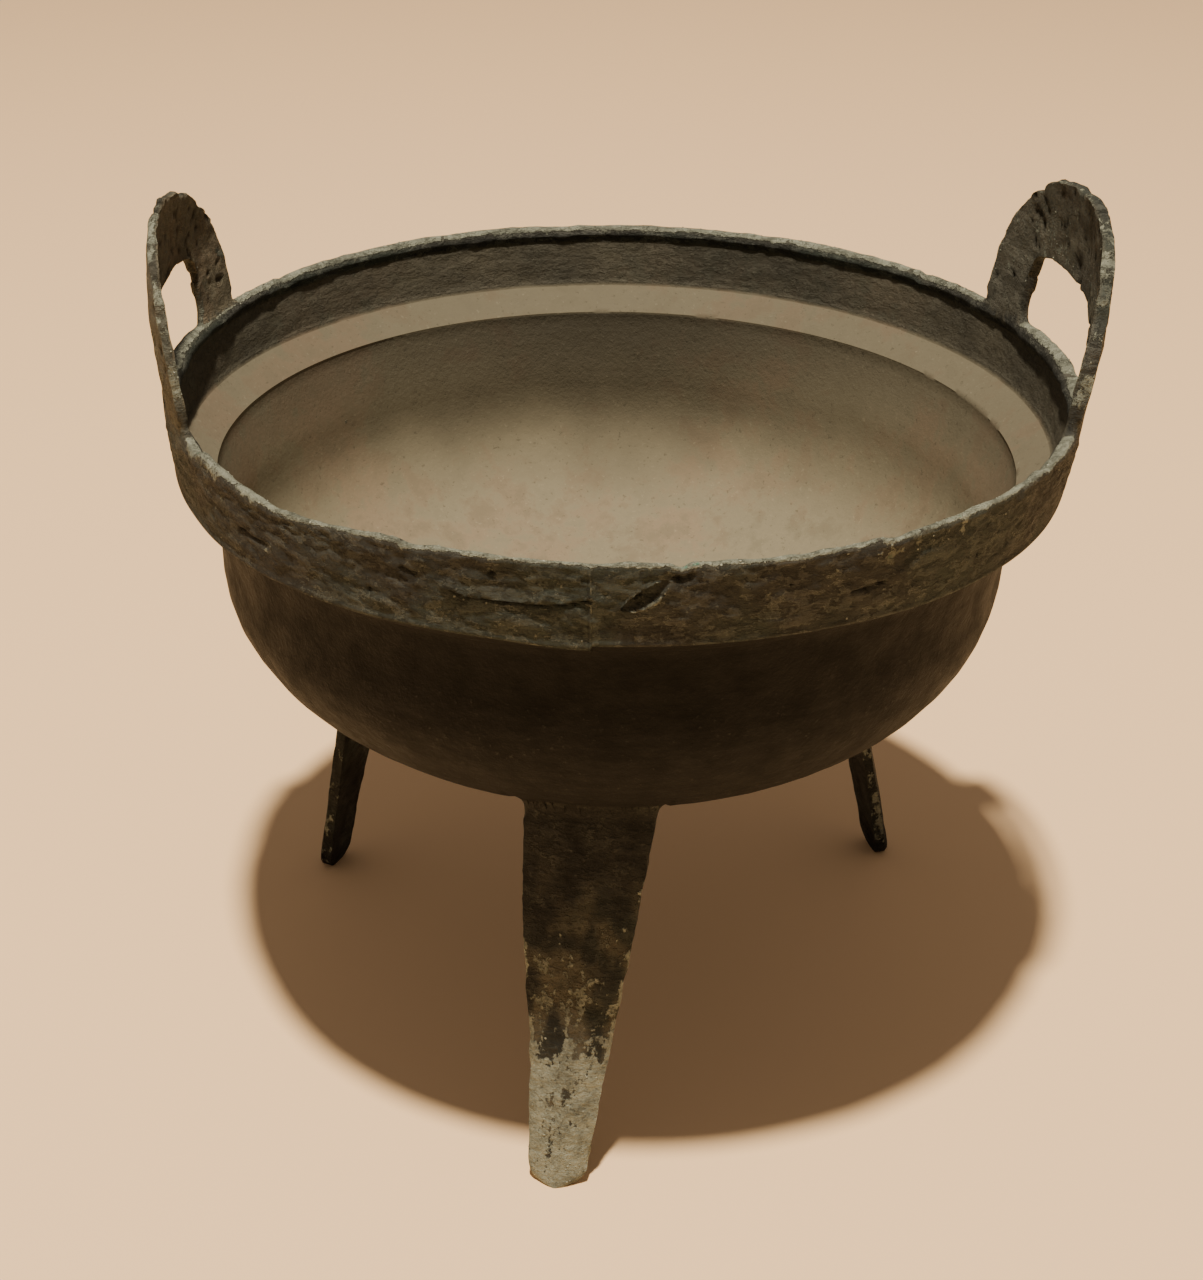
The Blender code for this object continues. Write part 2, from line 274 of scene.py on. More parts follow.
def shell_mesh(name, rings, marks):
    """Closed mesh through rings of points, with a fan over each end and the marks as attributes."""
    count, columns = rings.shape[0], rings.shape[1]
    places = rings.reshape(-1, 3)
    ends = np.stack([rings[0].mean(axis=0), rings[-1].mean(axis=0)])
    faces = []
    for ring in range(count - 1):
        for column in range(columns):
            after = (column + 1) % columns
            low, high = ring * columns, (ring + 1) * columns
            faces.append((low + column, low + after, high + after, high + column))
    first, last = count * columns, count * columns + 1
    for column in range(columns):
        after = (column + 1) % columns
        faces.append((first, after, column))
        faces.append((last, (count - 1) * columns + column, (count - 1) * columns + after))
    mesh = bpy.data.meshes.new(name)
    mesh.from_pydata(np.concatenate([places, ends]).tolist(), [], faces)
    for mark in MARKS:
        values = marks.get(mark, np.zeros((count, columns)))
        flat = np.concatenate([values.reshape(-1), [values[0].mean(), values[-1].mean()]])
        layer = mesh.attributes.new(mark, "FLOAT", "POINT")
        layer.data.foreach_set("value", np.clip(flat, 0.0, 1.0).astype(np.float32))
    build = bmesh.new()
    build.from_mesh(mesh)
    bmesh.ops.recalc_face_normals(build, faces=build.faces[:])
    bmesh.ops.triangulate(build, faces=build.faces[:])
    build.to_mesh(mesh)
    build.free()
    return put(name, mesh)


# Marks on the collar's outside: angles in degrees about the axis, heights and depths in metres
LAYER_SIZE = 0.013           # of the large flakes
SHELL_SIZE = 0.006           # of the small ones
FLAKE_STRETCH = np.array((1.0, 1.0, 2.0))        # makes the flakes longer along the ring
FLAKE_DEPTH = 0.00022
FOOT_BEAD = 0.00030          # height of the fine bead along the collar's foot
CRACK = (
    (-107.9, 0.1842), (-105.7, 0.1827), (-101.8, 0.1831),
    (-99.4, 0.1827), (-95.9, 0.1836), (-92.9, 0.1853),
)
CRACK_WIDTH = 0.0007
CRACK_DEPTH = 0.0007
CRACK_BULGE = 0.0006         # how far the skin over the crack stands out
SLITS = (
    ((-113.6, 0.1877), (-111.7, 0.1867)),
    ((-27.6, 0.1850), (-26.2, 0.1838)),
    ((-65.0, 0.1822), (-61.0, 0.1829)),
    ((-139.0, 0.1822), (-134.0, 0.1812)),
)
SLIT_WIDTH = 0.0008
SLIT_DEPTH = 0.0007
HIGHLIGHT_REACH = 0.0006          # of the painted highlight beside a crack or slit
LEAF_TIPS = ((-89.7, 0.1832), (-85.0, 0.1908))   # a leaf-shaped casting flaw with a raised edge
LEAF_BELOW = 0.0026          # its half width on the lower side
LEAF_ABOVE = 0.0015          # and on the upper side
LEAF_LEAST = 0.00012         # and at its tips
LEAF_EDGE = 0.00045          # height of its raised edge
LEAF_DEPTH = 0.0009
LEAF_TONGUE = 0.0007         # height of the tongue that lies in it
PITS = (
    (-103.3, 0.1899, 0.0012), (-83.9, 0.1922, 0.0018), (-82.9, 0.1923, 0.0016), (-118.0, 0.1800, 0.0012),
    (-72.0, 0.1871, 0.0009), (-47.0, 0.1812, 0.0012), (-127.0, 0.1861, 0.0010),
)
PIT_STEEPNESS = 0.7          # depth of a pit as a share of its radius
NOTCH = ((-85.2, 0.1919), (-82.6, 0.1922))       # under the lip, right of the leaf
NOTCH_WIDTH = 0.0014
NOTCH_DEPTH = 0.0010

# The casting seam at the front
SEAM_ANGLE = math.radians(-92.9)
SEAM_WIDTH = 0.0005
SEAM_RIDGE = 0.00030
SEAM_SOFTNESS = 0.0002       # over which the step beside the seam rises
SEAM_STEP = 0.0004           # how far the left half of the mould stood back
SEAM_DROP = 0.0011           # how much lower its foot edge is
FOOT_LIFT = 0.0009           # how much higher the foot edge stands at the front

# The lip
EAR_REACH = 42.0             # how far from the middle of an ear the lip grows thicker
LIP_THICKENING = 0.0011      # how much further the lip reaches in at the ears
LIP_ROUGHNESS = 0.00035
LIP_WAVES = 0.0003
LIP_CHIPS = (                # angle in degrees, half width in metres, depth in metres
    (-83.6, 0.0030, 0.0011), (-34.0, 0.0040, 0.0012), (-151.0, 0.0050, 0.0016), (-112.0, 0.0060, 0.0007),
    (-60.0, 0.0050, 0.0006), (38.0, 0.0035, 0.0008), (144.0, 0.0035, 0.0009), (97.0, 0.0045, 0.0006),
)
SAG = (-132.0, 20.0)         # middle and reach of the stretch where the lip is worn lower
SAG_DEPTH = 0.0024
GREEN_SPOTS = (              # angle and reach in degrees, strength
    (-82.7, 4.0, 1.0), (-150.0, 7.0, 0.7), (-98.0, 4.0, 0.6), (-52.0, 7.0, 0.7),
    (-118.0, 6.0, 0.35), (55.0, 10.0, 0.6), (120.0, 12.0, 0.3),
)

# The rest of the body
DENT = (-160.0, 30.0)        # the collar's foot is pressed in on the left
DENT_DEPTH = 0.0016
BOWL_ASIDE = 0.0013          # how far the bowl's belly stands to the left of the ring
BOWL_ASIDE_HEIGHT = 0.133
BOWL_WAVES = 0.00030
BOWL_ROUGHNESS = 0.00010
INSIDE_ROUGHNESS = 0.00009
INSIDE_COLLAR_ROUGHNESS = 0.00022
BARE_AND_SHADE_SHARE = 0.66            # how much of the dust is gone high up on the inside's back; this is partly worn-off dust and partly painted shade


def ring_angles():
    """Angles around the body, closer together at the front, the leaf and the seam."""
    fine = np.linspace(-math.pi, math.pi, CROWDING_SAMPLES)
    crowd = 1.0 + sum(extra * around(fine, middle, reach) for middle, reach, extra in CROWDING)
    run = np.cumsum(crowd)
    marks = run[0] + (run[-1] - run[0]) * np.arange(RING_STEPS) / RING_STEPS
    return np.interp(marks, run, fine)


def unrolled(place):
    """An (angle in degrees, height) place of the collar in metres on its unrolled skin."""
    return np.array((math.radians(place[0]) * RIM_RADIUS, place[1]))


def line_distance(across, up, start, end):
    """Distance of each point from a short line on the unrolled collar, in metres."""
    a = unrolled(start)
    along = unrolled(end) - a
    share = np.clip(((across - a[0]) * along[0] + (up - a[1]) * along[1]) / (along @ along), 0.0, 1.0)
    return np.hypot(across - a[0] - share * along[0], up - a[1] - share * along[1])


def leaf_place(across, up):
    """Place in the leaf-shaped flaw: 0 on its middle line, 1 on its edge; and how far along it lies."""
    start, end = (unrolled(tip) for tip in LEAF_TIPS)
    length = np.linalg.norm(end - start)
    way = (end - start) / length
    along = ((across - start[0]) * way[0] + (up - start[1]) * way[1]) / length
    aside = (up - start[1]) * way[0] - (across - start[0]) * way[1]
    belly = np.sin(math.pi * np.clip(along, 0.0, 1.0)) ** 0.6
    half = np.where(aside < 0.0, LEAF_BELOW, LEAF_ABOVE) * belly + LEAF_LEAST
    beyond = np.maximum(0.0, np.abs(along - 0.5) - 0.5) * length
    return np.hypot(aside, beyond) / half, along


def collar_relief(angle, height, points):
    """Relief of the collar's outside, and its painted shade in cracks, slits, pits and hollows and painted
    highlight along each raised edge.
    """
    across = angle * RIM_RADIUS
    flat = points * FLAKE_STRETCH
    layers = rough(flat, LAYER_SIZE, 3.1, 4)
    shells = rough(flat, SHELL_SIZE, 7.7, 3)
    band = ramp(COLLAR_FOOT_HEIGHT + 0.0020, COLLAR_FOOT_HEIGHT + 0.0050, height)
    band = band * (1.0 - 0.6 * ramp(RIM_HEIGHT - 0.0030, RIM_HEIGHT - 0.0012, height))
    flakes = ramp(-0.02, 0.04, layers) + 0.6 * ramp(0.24, 0.29, layers) - 0.6 * ramp(0.24, 0.30, shells)
    depth = FLAKE_DEPTH * band * (flakes + rough(flat, 0.0040, 5.0, 3))
    depth += FOOT_BEAD * hump(height - COLLAR_FOOT_HEIGHT - 0.0006, 0.0012)
    # painted shade in the low parts of the flakes and painted highlight along their rims
    painted_shade_share = 0.35 * band * ramp(0.20, 0.45, -layers)
    pale = band * (0.30 * hump(layers - 0.02, 0.03) + 0.25 * hump(layers - 0.27, 0.03))

    gap = np.min([line_distance(across, height, start, end) for start, end in zip(CRACK, CRACK[1:])], axis=0)
    level = np.interp(across, *np.array([unrolled(place) for place in CRACK]).T)
    over = hump(gap, 0.0040) * ramp(-0.0002, 0.0006, height - level)
    depth += CRACK_BULGE * over - CRACK_DEPTH * hump(gap, CRACK_WIDTH)
    # painted shadow in the crack under the skin that stands out over it, and painted highlight on the lower
    # lip below it
    painted_shade_share = np.maximum(painted_shade_share, 0.85 * hump(gap, CRACK_WIDTH))
    pale = np.maximum(pale, 0.66 * hump(gap - 0.0009, HIGHLIGHT_REACH) * (height < level))
    for start, end in SLITS:
        gap = line_distance(across, height, start, end)
        depth -= SLIT_DEPTH * hump(gap, SLIT_WIDTH)
        # painted shade in each slit and painted highlight on both sides of it
        painted_shade_share = np.maximum(painted_shade_share, 0.7 * hump(gap, SLIT_WIDTH))
        pale = np.maximum(pale, 0.45 * hump(gap - 0.0011, HIGHLIGHT_REACH))
    leaf, along = leaf_place(across, height)
    depth += LEAF_EDGE * hump(leaf - 1.05, 0.35) - LEAF_DEPTH * (1.0 - ramp(0.55, 0.95, leaf))
    depth += LEAF_TONGUE * (1.0 - ramp(0.15, 0.40, leaf)) * hump(along - 0.42, 0.30)
    # painted shade in the leaf's hollow and painted highlight on its raised edge
    painted_shade_share = np.maximum(painted_shade_share, 0.42 * (1.0 - ramp(0.80, 1.0, leaf)))
    pale = np.maximum(pale * ramp(1.1, 1.6, leaf), 0.72 * hump(leaf - 1.05, 0.32))
    for middle, level, reach in PITS:
        pit = hump(np.hypot(across - math.radians(middle) * RIM_RADIUS, height - level), reach)
        depth -= PIT_STEEPNESS * reach * pit
        # painted shade in each pit
        painted_shade_share = np.maximum(painted_shade_share, pit)
    notch = hump(line_distance(across, height, *NOTCH), NOTCH_WIDTH)
    depth -= NOTCH_DEPTH * notch
    # painted shade in the notch
    painted_shade_share = np.maximum(painted_shade_share, 0.3 * notch)

    beside = (angle - SEAM_ANGLE) * RIM_RADIUS
    left = ramp(-SEAM_SOFTNESS, SEAM_SOFTNESS, -beside) * hump(beside + 0.0200, 0.0230)
    depth += SEAM_RIDGE * hump(beside, SEAM_WIDTH) - SEAM_STEP * left
    # painted shade just left of the seam, where the left half stands back
    painted_shade_share = np.maximum(painted_shade_share, 0.45 * hump(beside + 0.0004, SEAM_WIDTH))
    # painted shade: the collar grows darker away from the front right, where the most light falls
    painted_shade_share = np.maximum(painted_shade_share, 0.22 * (1.0 - around(angle, -76.0, 62.0)))
    # painted highlight on the seam's ridge
    pale = np.maximum(pale, 0.52 * hump(beside - 0.0002, SEAM_WIDTH))
    return depth, painted_shade_share, pale


def make_body(wear):
    """Bowl, step, collar, lip and ledge as one oval turned shell, with its wear."""
    section, regions = wall_section()
    tangent = np.gradient(section, axis=0)
    tangent /= np.linalg.norm(tangent, axis=1)[:, None]
    shape = (len(section), RING_STEPS)
    radius, height = (np.broadcast_to(line[:, None], shape) for line in section.T)
    going_out, going_up = (np.broadcast_to(line[:, None], shape) for line in tangent.T)
    angle = np.broadcast_to(ring_angles(), shape)
    plain = oval(radius, angle, height)
    points = np.stack([plain * np.cos(angle), plain * np.sin(angle), height], axis=2)
    on = {name: np.broadcast_to((regions == name)[:, None], shape) for name in set(regions)}
    on_lip = on["lip"]
    on_collar = on["collar"] | on_lip
    on_bowl = on["bowl"] | on["step"]
    fine = rough(points, 0.006, 11.0)
    depth = BOWL_WAVES * rough(points, 0.030, 1.0, 2) + BOWL_ROUGHNESS * fine * on_bowl
    depth += INSIDE_ROUGHNESS * fine * (on["ledge"] | on["inside"] | on["inside_collar"])
    depth += INSIDE_COLLAR_ROUGHNESS * rough(points, 0.005, 21.0) * on["inside_collar"]

    relief, painted_shade_share, pale = collar_relief(angle[on_collar], height[on_collar], points[on_collar])
    share = np.where(on["collar"], 1.0, np.clip((RIM_HEIGHT - height) / LIP_DEPTH, 0.0, 1.0))[on_collar]
    depth[on_collar] += wear * relief * share
    painted_shade, painted_highlights = np.zeros((2, *shape))
    # painted shade and painted highlight of the collar's relief, fading out up the lip
    painted_shade[on_collar] = painted_shade_share * share
    painted_highlights[on_collar] = pale * share

    beside_ear = np.maximum(around(angle, 0.0, EAR_REACH), around(angle, 180.0, EAR_REACH))
    depth += LIP_THICKENING * beside_ear * ramp(0.2, 0.9, -going_up) * on_lip
    depth += wear * LIP_ROUGHNESS * rough(points, 0.006, 31.0) * on_lip
    lowering = SAG_DEPTH * around(angle, *SAG) + LIP_WAVES * ramp(0.1, 0.6, rough(points, 0.018, 41.0, 2))
    for middle, reach, cut in LIP_CHIPS:
        lowering = lowering + cut * hump((angle - math.radians(middle)) * RIM_RADIUS, reach)
    height = height - wear * lowering * ramp(RIM_HEIGHT - 0.0075, RIM_HEIGHT - 0.0010, height)

    dent = DENT_DEPTH * around(angle, *DENT)
    dent = dent * np.where(on["collar"], 1.0 - ramp(COLLAR_FOOT_HEIGHT, RIM_HEIGHT, height), on["step"])
    beside = (angle - SEAM_ANGLE) * RIM_RADIUS
    drop = SEAM_DROP * ramp(-SEAM_SOFTNESS, SEAM_SOFTNESS, -beside) * hump(beside + 0.0040, 0.0300)
    drop = drop - FOOT_LIFT * around(angle, -90.0, 60.0)
    height = height - drop * hump(height - COLLAR_FOOT_HEIGHT, 0.0045) * (on_bowl | on_collar)
    reach = oval(radius + depth * going_up - dent, angle, height)
    aside = BOWL_ASIDE * hump(height - BOWL_ASIDE_HEIGHT, 0.040) * (on["bowl"] | on["inside"])
    lifted = height - depth * going_out
    rings = np.stack([reach * np.cos(angle) - aside, reach * np.sin(angle), lifted], axis=2)

    # painted highlight along the seam on the top of the bowl
    seam = 0.5 * hump(beside, 0.0004) * on_bowl * ramp(0.155, 0.166, height)
    return shell_mesh("body", rings, body_marks(angle, height, points, on, ramp(0.30, 0.85, -going_out),
                                                painted_shade, np.maximum(painted_highlights, seam)))


def body_marks(angle, height, points, on, facing_up, painted_shade, painted_highlights):
    """How dusty, brown, crusted and green the body is at each point, and where shade is painted; the inside's
    dust share also holds painted shade, and the crust share painted highlights.
    """
    patch = rough(points, 0.022, 51.0)
    bits = rough(points, 0.0042, 61.0)
    at_back = 0.5 + 0.5 * np.sin(angle)
    # less dust high up on the inside's back and on the wall just under the ledge makes them darker: partly
    # dust gone, partly painted shade
    bare_and_shaded_from = 0.120 - 0.008 * at_back
    bare_and_shaded = BARE_AND_SHADE_SHARE * at_back ** 4 * ramp(bare_and_shaded_from, bare_and_shaded_from + 0.045, height + 0.009 * patch)
    dust_and_shade = (1.0 - bare_and_shaded) * (1.0 - 0.34 * ramp(0.150, LEDGE_INNER_HEIGHT - LEDGE_EDGE, height))

    def under_rim(middle, spread, low, high):
        """1 close under the rim round an angle, falling to 0 over the spread and between two drops."""
        below = ramp(RIM_HEIGHT - low, RIM_HEIGHT - high, height) * (on["collar"] | on["lip"])
        return around(angle, middle, spread) * below

    left = 0.60 * under_rim(-142.0, 34.0, 0.0060, 0.0020) * (0.9 + 0.6 * bits)
    right = 0.52 * under_rim(-56.0, 22.0, 0.0120, 0.0040) * (0.8 + 0.9 * bits)
    # the crust mark also takes the painted highlights of the collar's relief and seam
    crust_and_highlights = [
        painted_highlights,
        left,
        right,
        # on the lip the crust share rises where the bead faces up; besides crust this is a painted highlight
        # where the lamp above strikes the bead
        (0.18 + (0.76 + 0.42 * bits) * facing_up) * on["lip"],
        (0.16 + 0.12 * patch) * on["collar"],
        0.45 * hump(height - COLLAR_FOOT_HEIGHT, 0.0009) * on["collar"],
    ]
    greens = [strength * around(angle, middle, reach) for middle, reach, strength in GREEN_SPOTS]
    return {
        # on the inside the dust share holds painted shade as well as dust
        "dust": (0.60 * on["ledge"] + dust_and_shade * on["inside"] + (0.24 + 0.10 * patch) * on["inside_collar"]
                 + 0.30 * facing_up * on["lip"]),
        "brown": 1.0 * (on["collar"] | on["lip"]) + 0.35 * on["inside_collar"],
        "crust": np.max(crust_and_highlights, axis=0),
        # painted shade on the top of the bowl under the collar's step
        "painted_shade": np.maximum(painted_shade, 0.9 * (on["bowl"] | on["step"]) * ramp(0.135, 0.160, height)),
        "verdigris": np.where(on["lip"], np.max(greens, axis=0) * facing_up, 1.1 * right),
    }


class Ear(NamedTuple):
    """Place, sizes and damage of one ear."""

    angle: float             # of its middle about the axis, in degrees
    far_share: float         # width of its half behind as a share of the half in front
    height: float
    thickness: float
    lean: float              # how far out it leans for each metre up
    belly: float             # how far it bulges half way up
    dust: float
    bites: tuple
    seed: float


# Bites and knobs of the crowns: place along the arch from 0 to 1, half width as a share, depth in metres
RIGHT_EAR = Ear(0.5, 0.965, 0.0452, 0.0036, 0.090, 0.0009, 0.28,
                ((0.30, 0.022, 0.0016), (0.36, 0.015, -0.0006), (0.62, 0.035, 0.0012), (0.70, 0.020, 0.0014),
                 (0.47, 0.020, 0.0007), (0.55, 0.018, -0.0005), (0.80, 0.020, 0.0010)), 3.0)
LEFT_EAR = Ear(180.0, 0.965, 0.0430, 0.0027, 0.020, 0.0010, 0.88,
               ((0.44, 0.018, -0.0009), (0.49, 0.014, 0.0014), (0.53, 0.018, -0.0009), (0.33, 0.025, 0.0012),
                (0.65, 0.030, 0.0012), (0.74, 0.020, 0.0012), (0.21, 0.020, 0.0008)), 9.0)


def arch(half_spread, height, squareness, turn):
    """Point of an arch's outline: angle from its middle line and height above the lip."""
    across = np.sign(np.cos(turn)) * np.abs(np.cos(turn)) ** (2.0 / squareness)
    return half_spread * across, height * np.abs(np.sin(turn)) ** (2.0 / squareness)


def ear_section(thickness):
    """Loop round the band of an ear as (share from the crown to the hole, depth from its outer face)."""
    corner = 0.3 * thickness
    shares = np.linspace(0.0, 1.0, EAR_BANDS + 1)[1:-1]
    crown = [(0.0, corner), (0.0, thickness - corner)]
    face_in = [(0.02, thickness)] + [(share, thickness) for share in shares] + [(0.98, thickness)]
    hole = [(1.0, thickness - corner), (1.0, corner)]
    face_out = [(0.98, 0.0)] + [(share, 0.0) for share in shares[::-1]] + [(0.02, 0.0)]
    return np.array([(0.0, 0.5 * thickness)] + crown[1:] + face_in + hole[:1] + [(1.0, 0.5 * thickness)]
                    + hole[1:] + face_out + crown[:1])


def make_ear(name, ear, wear):
    """Loop ear standing over the collar, with its ends sunk in the lip and a worn, bitten crown."""
    facing = math.radians(ear.angle)
    steps = np.arange(-1, EAR_STEPS + 2)[:, None]
    turn = math.pi * np.clip(steps, 0, EAR_STEPS) / EAR_STEPS
    turn = turn - 0.28 * np.sin(4.0 * turn) / 4.0
    sunk = np.where((steps < 0) | (steps > EAR_STEPS), -EAR_ROOT, 0.0)
    crown_angle, crown_rise = arch(EAR_HALF_SPREAD, ear.height, EAR_SQUARENESS, turn)
    near_angle, near_rise = arch(HOLE_HALF_SPREAD, HOLE_HEIGHT, HOLE_SQUARENESS, turn)
    far_angle, far_rise = arch(HOLE_HALF_SPREAD, HOLE_HEIGHT, HOLE_FAR_SQUARENESS, turn)
    far = crown_angle * math.copysign(1.0, math.cos(facing)) > 0.0
    crown_angle = np.where(far, crown_angle * ear.far_share, crown_angle)
    hole_angle = HOLE_WIDENING * np.where(far, far_angle, near_angle)
    hole_rise = np.where(far, far_rise, near_rise)

    def skin(share, depth, thinning):
        """Points of the ear for places from the crown to the hole and depths from the outer face."""
        angle = facing + crown_angle + (hole_angle - crown_angle) * share
        rise = crown_rise + (hole_rise - crown_rise) * share + sunk
        upward = np.clip(rise / ear.height, 0.0, 1.0)
        depth = depth + (0.5 * ear.thickness - depth) * thinning * upward
        bulge = ear.belly * np.sin(math.pi * upward) - CROWN_DRAW_IN * upward ** 4
        reach = oval(RIM_RADIUS, angle, RIM_HEIGHT) - EAR_SETBACK - depth + ear.lean * rise + bulge
        return np.stack([reach * np.cos(angle), reach * np.sin(angle), RIM_HEIGHT + rise], axis=2)

    share, depth = ear_section(ear.thickness).T[:, None, :]
    plain = skin(share, 0.0, 0.0)
    above = ramp(0.002, 0.008, plain[..., 2] - RIM_HEIGHT)
    near_crown = 1.0 - ramp(0.0, 0.12, share)
    near_hole = ramp(0.88, 1.0, share)
    inward = near_crown * (CROWN_WEAR + CROWN_ROUGHNESS * rough(plain, 0.0055, ear.seed))
    for middle, half, cut in ear.bites:
        inward = inward + cut * hump(steps / EAR_STEPS - middle, half) * near_crown
    outward = near_hole * HOLE_ROUGHNESS * rough(plain, 0.0040, ear.seed + 5.0)
    width = np.hypot((hole_angle - crown_angle) * RIM_RADIUS, hole_rise - crown_rise)
    share_moved = share + above * wear * (inward - outward) / width

    pits = ramp(0.34, 0.55, rough(plain, 0.0036, ear.seed + 13.0, 2))
    face = EAR_ROUGHNESS * rough(plain, 0.008, ear.seed + 9.0) - EAR_PIT_DEPTH * pits
    from_middle = depth - 0.5 * ear.thickness
    depth = depth + above * wear * face * np.sign(np.round(from_middle / ear.thickness, 2))
    rings = skin(share_moved, depth, EAR_THINNING)

    patch = rough(plain, 0.012, ear.seed + 21.0)
    inner_face = from_middle > 0.3 * ear.thickness
    marks = {
        "brown": np.ones(patch.shape),
        "dust": ear.dust * np.where(inner_face, 1.0, 0.3) + 0.12 * patch,
        "crust": 0.26 + 0.25 * patch + (0.24 * near_crown + 0.05 * near_hole) * above,
        "verdigris": 0.20 * near_crown + 0.3 * ramp(0.3, 0.5, patch),
        # painted shade in the ear's pits and round the edge of its hole
        "painted_shade": np.maximum(0.7 * pits, 0.4 * near_hole * above),
        "cords": inner_face * ramp(0.12, 0.30, share) * (1.0 - ramp(-0.3, 0.3, patch)),
    }
    return shell_mesh(name, rings, marks)


class Leg(NamedTuple):
    """Place, sizes and crust of one leg; the angles are in degrees."""

    angle: float             # of its foot about the axis
    swing: float             # how far its top is turned on from its foot
    facing: float            # how far its outer face is turned from the axis
    top_width: float
    foot_width: float
    bow: float               # how far it bows out half way up
    flare: float             # how far one edge widens to the top; below 0 it is the left edge
    crust_top: float         # level that the crust reaches, 0 for none
    seed: float


FRONT_LEG = Leg(-98.8, 5.2, 0.0, 0.0324, 0.0150, 0.0, -0.0026, 0.040, 2.0)
RIGHT_LEG = Leg(31.8, 5.0, -16.0, 0.0260, 0.0125, 0.0010, 0.0030, 0.0, 6.0)
LEFT_LEG = Leg(152.7, -3.0, 3.0, 0.0280, 0.0125, 0.0012, 0.0012, 0.0, 8.0)


def leg_loop():
    """Loop round a leg's section as (place across from -1 to 1, depth from the inner face)."""
    across = np.linspace(-1.0, 1.0, LEG_COLUMNS + 1)
    thick = LEG_EDGE_THICKNESS + (LEG_RIDGE_THICKNESS - LEG_EDGE_THICKNESS) * (1.0 - across ** 2)
    rows = LEG_EDGE_THICKNESS * np.linspace(0.25, 0.75, 3)
    loop = [(x, 0.0) for x in across] + [(1.0, row) for row in rows]
    loop += list(zip(across[::-1], thick[::-1])) + [(-1.0, row) for row in rows[::-1]]
    return np.array(loop), thick.mean()


def make_leg(name, leg, wear):
    """Plate leg, flat inside and ridged outside, tapering to a worn foot with a flat sole."""
    turns = np.radians((leg.angle + leg.facing, leg.angle, leg.angle + leg.swing))
    outward, to_foot, to_top = np.stack([np.cos(turns), np.sin(turns)], axis=1)
    sideways = np.array((-outward[1], outward[0]))
    foot = FOOT_RADIUS * to_foot
    top = LEG_TOP_RADIUS * to_top
    top_height = float(wall_height(*top))
    low = FOOT_ROUNDING * np.array((0.0, 0.08, 0.2, 0.4, 0.7, 1.0))
    high = np.linspace(FOOT_ROUNDING, 0.97 * top_height, LEG_STEPS + 1)[1:]
    levels = np.concatenate([low, high, [top_height]])[:, None]
    share = levels / top_height
    half = 0.5 * (leg.foot_width + (leg.top_width - leg.foot_width) * share)
    cut = np.maximum(0.0, FOOT_ROUNDING - levels)
    half = half - (FOOT_ROUNDING - np.sqrt(FOOT_ROUNDING ** 2 - cut ** 2))
    centre = foot + (top - foot) * share
    bowed = leg.bow * np.sin(math.pi * share)

    def skin(side, depth, level):
        """Points of the leg for places across it, depths from its inner face and levels."""
        flared = leg.flare * ramp(0.30, 0.75, share) * ramp(0.0, 1.0, side * math.copysign(1.0, leg.flare))
        ground = centre[:, None, :] + sideways * (half * side + flared)[..., None]
        ground = ground + outward * (depth - 0.5 * LEG_RIDGE_THICKNESS + bowed)[..., None]
        return np.concatenate([ground, level[..., None]], axis=2)

    loop, middle_depth = leg_loop()
    shape = (len(levels), len(loop))
    side, depth = (np.broadcast_to(line, shape) for line in loop.T)
    level = np.broadcast_to(levels, shape)
    plain = skin(side, depth, level)
    above = ramp(0.0, 0.004, level)
    is_crusted = leg.crust_top > 0.0
    crusted = is_crusted * (1.0 - ramp(leg.crust_top - 0.010, leg.crust_top + 0.006, level))
    speckled = is_crusted * (1.0 - ramp(leg.crust_top + 0.008, leg.crust_top + 0.060, level))
    relief = LEG_WAVES * rough(plain, 0.014, leg.seed)
    relief = relief + (LEG_ROUGHNESS + CRUST_ROUGHNESS * crusted) * rough(plain, 0.0030, leg.seed + 4.0)
    ridge = LEG_RIDGE * hump(side, 0.10) * (depth > 0.003)
    depth = depth + above * wear * (relief * np.sign(depth - 0.5 * middle_depth) + ridge)
    worn = LEG_EDGE_WEAR * rough(plain, 0.007, leg.seed + 9.0)
    side = side * (1.0 + above * wear * worn / half * (np.abs(side) > 0.95))
    rings = skin(side, depth, level)
    rings[-1, :, 2] = wall_height(rings[-1, :, 0], rings[-1, :, 1])

    edge = ramp(0.86, 1.0, np.abs(side))
    patch = rough(plain * np.array((1.0, 1.0, 0.45)), 0.0065, leg.seed + 14.0, 4)
    outer = depth > 0.002
    holes = crusted * hump(side + 0.15, 0.75) * outer * ramp(0.006, 0.016, level)
    crest = speckled * hump(side + 0.10, 0.07) * outer
    marks = {
        "brown": 0.30 + 0.3 * patch + 0.2 * speckled,
        "crust": (0.44 * crusted + 0.44 * speckled + 0.12 * patch - 0.32 * holes + 0.18 * crest
                  + (0.22 if is_crusted else 0.40) * edge * above),
        "dust": 0.10 * crusted + 0.35 * speckled * ramp(-0.15, 0.35, patch),
        "verdigris": 0.20 * crusted * ramp(0.1, 0.5, patch),
    }
    return shell_mesh(name, rings, marks)


def read_marks(mesh):
    """The marks of a mesh as columns, one row to a vertex."""
    values = np.zeros((len(mesh.vertices), len(MARKS)), np.float32)
    for column, mark in enumerate(MARKS):
        line = np.zeros(len(mesh.vertices), np.float32)
        mesh.attributes[mark].data.foreach_get("value", line)
        values[:, column] = line
    return values


def places_of(mesh):
    """Vertex places of a mesh as rows."""
    flat = np.zeros(3 * len(mesh.vertices), np.float32)
    mesh.vertices.foreach_get("co", flat)
    return flat.reshape(-1, 3)


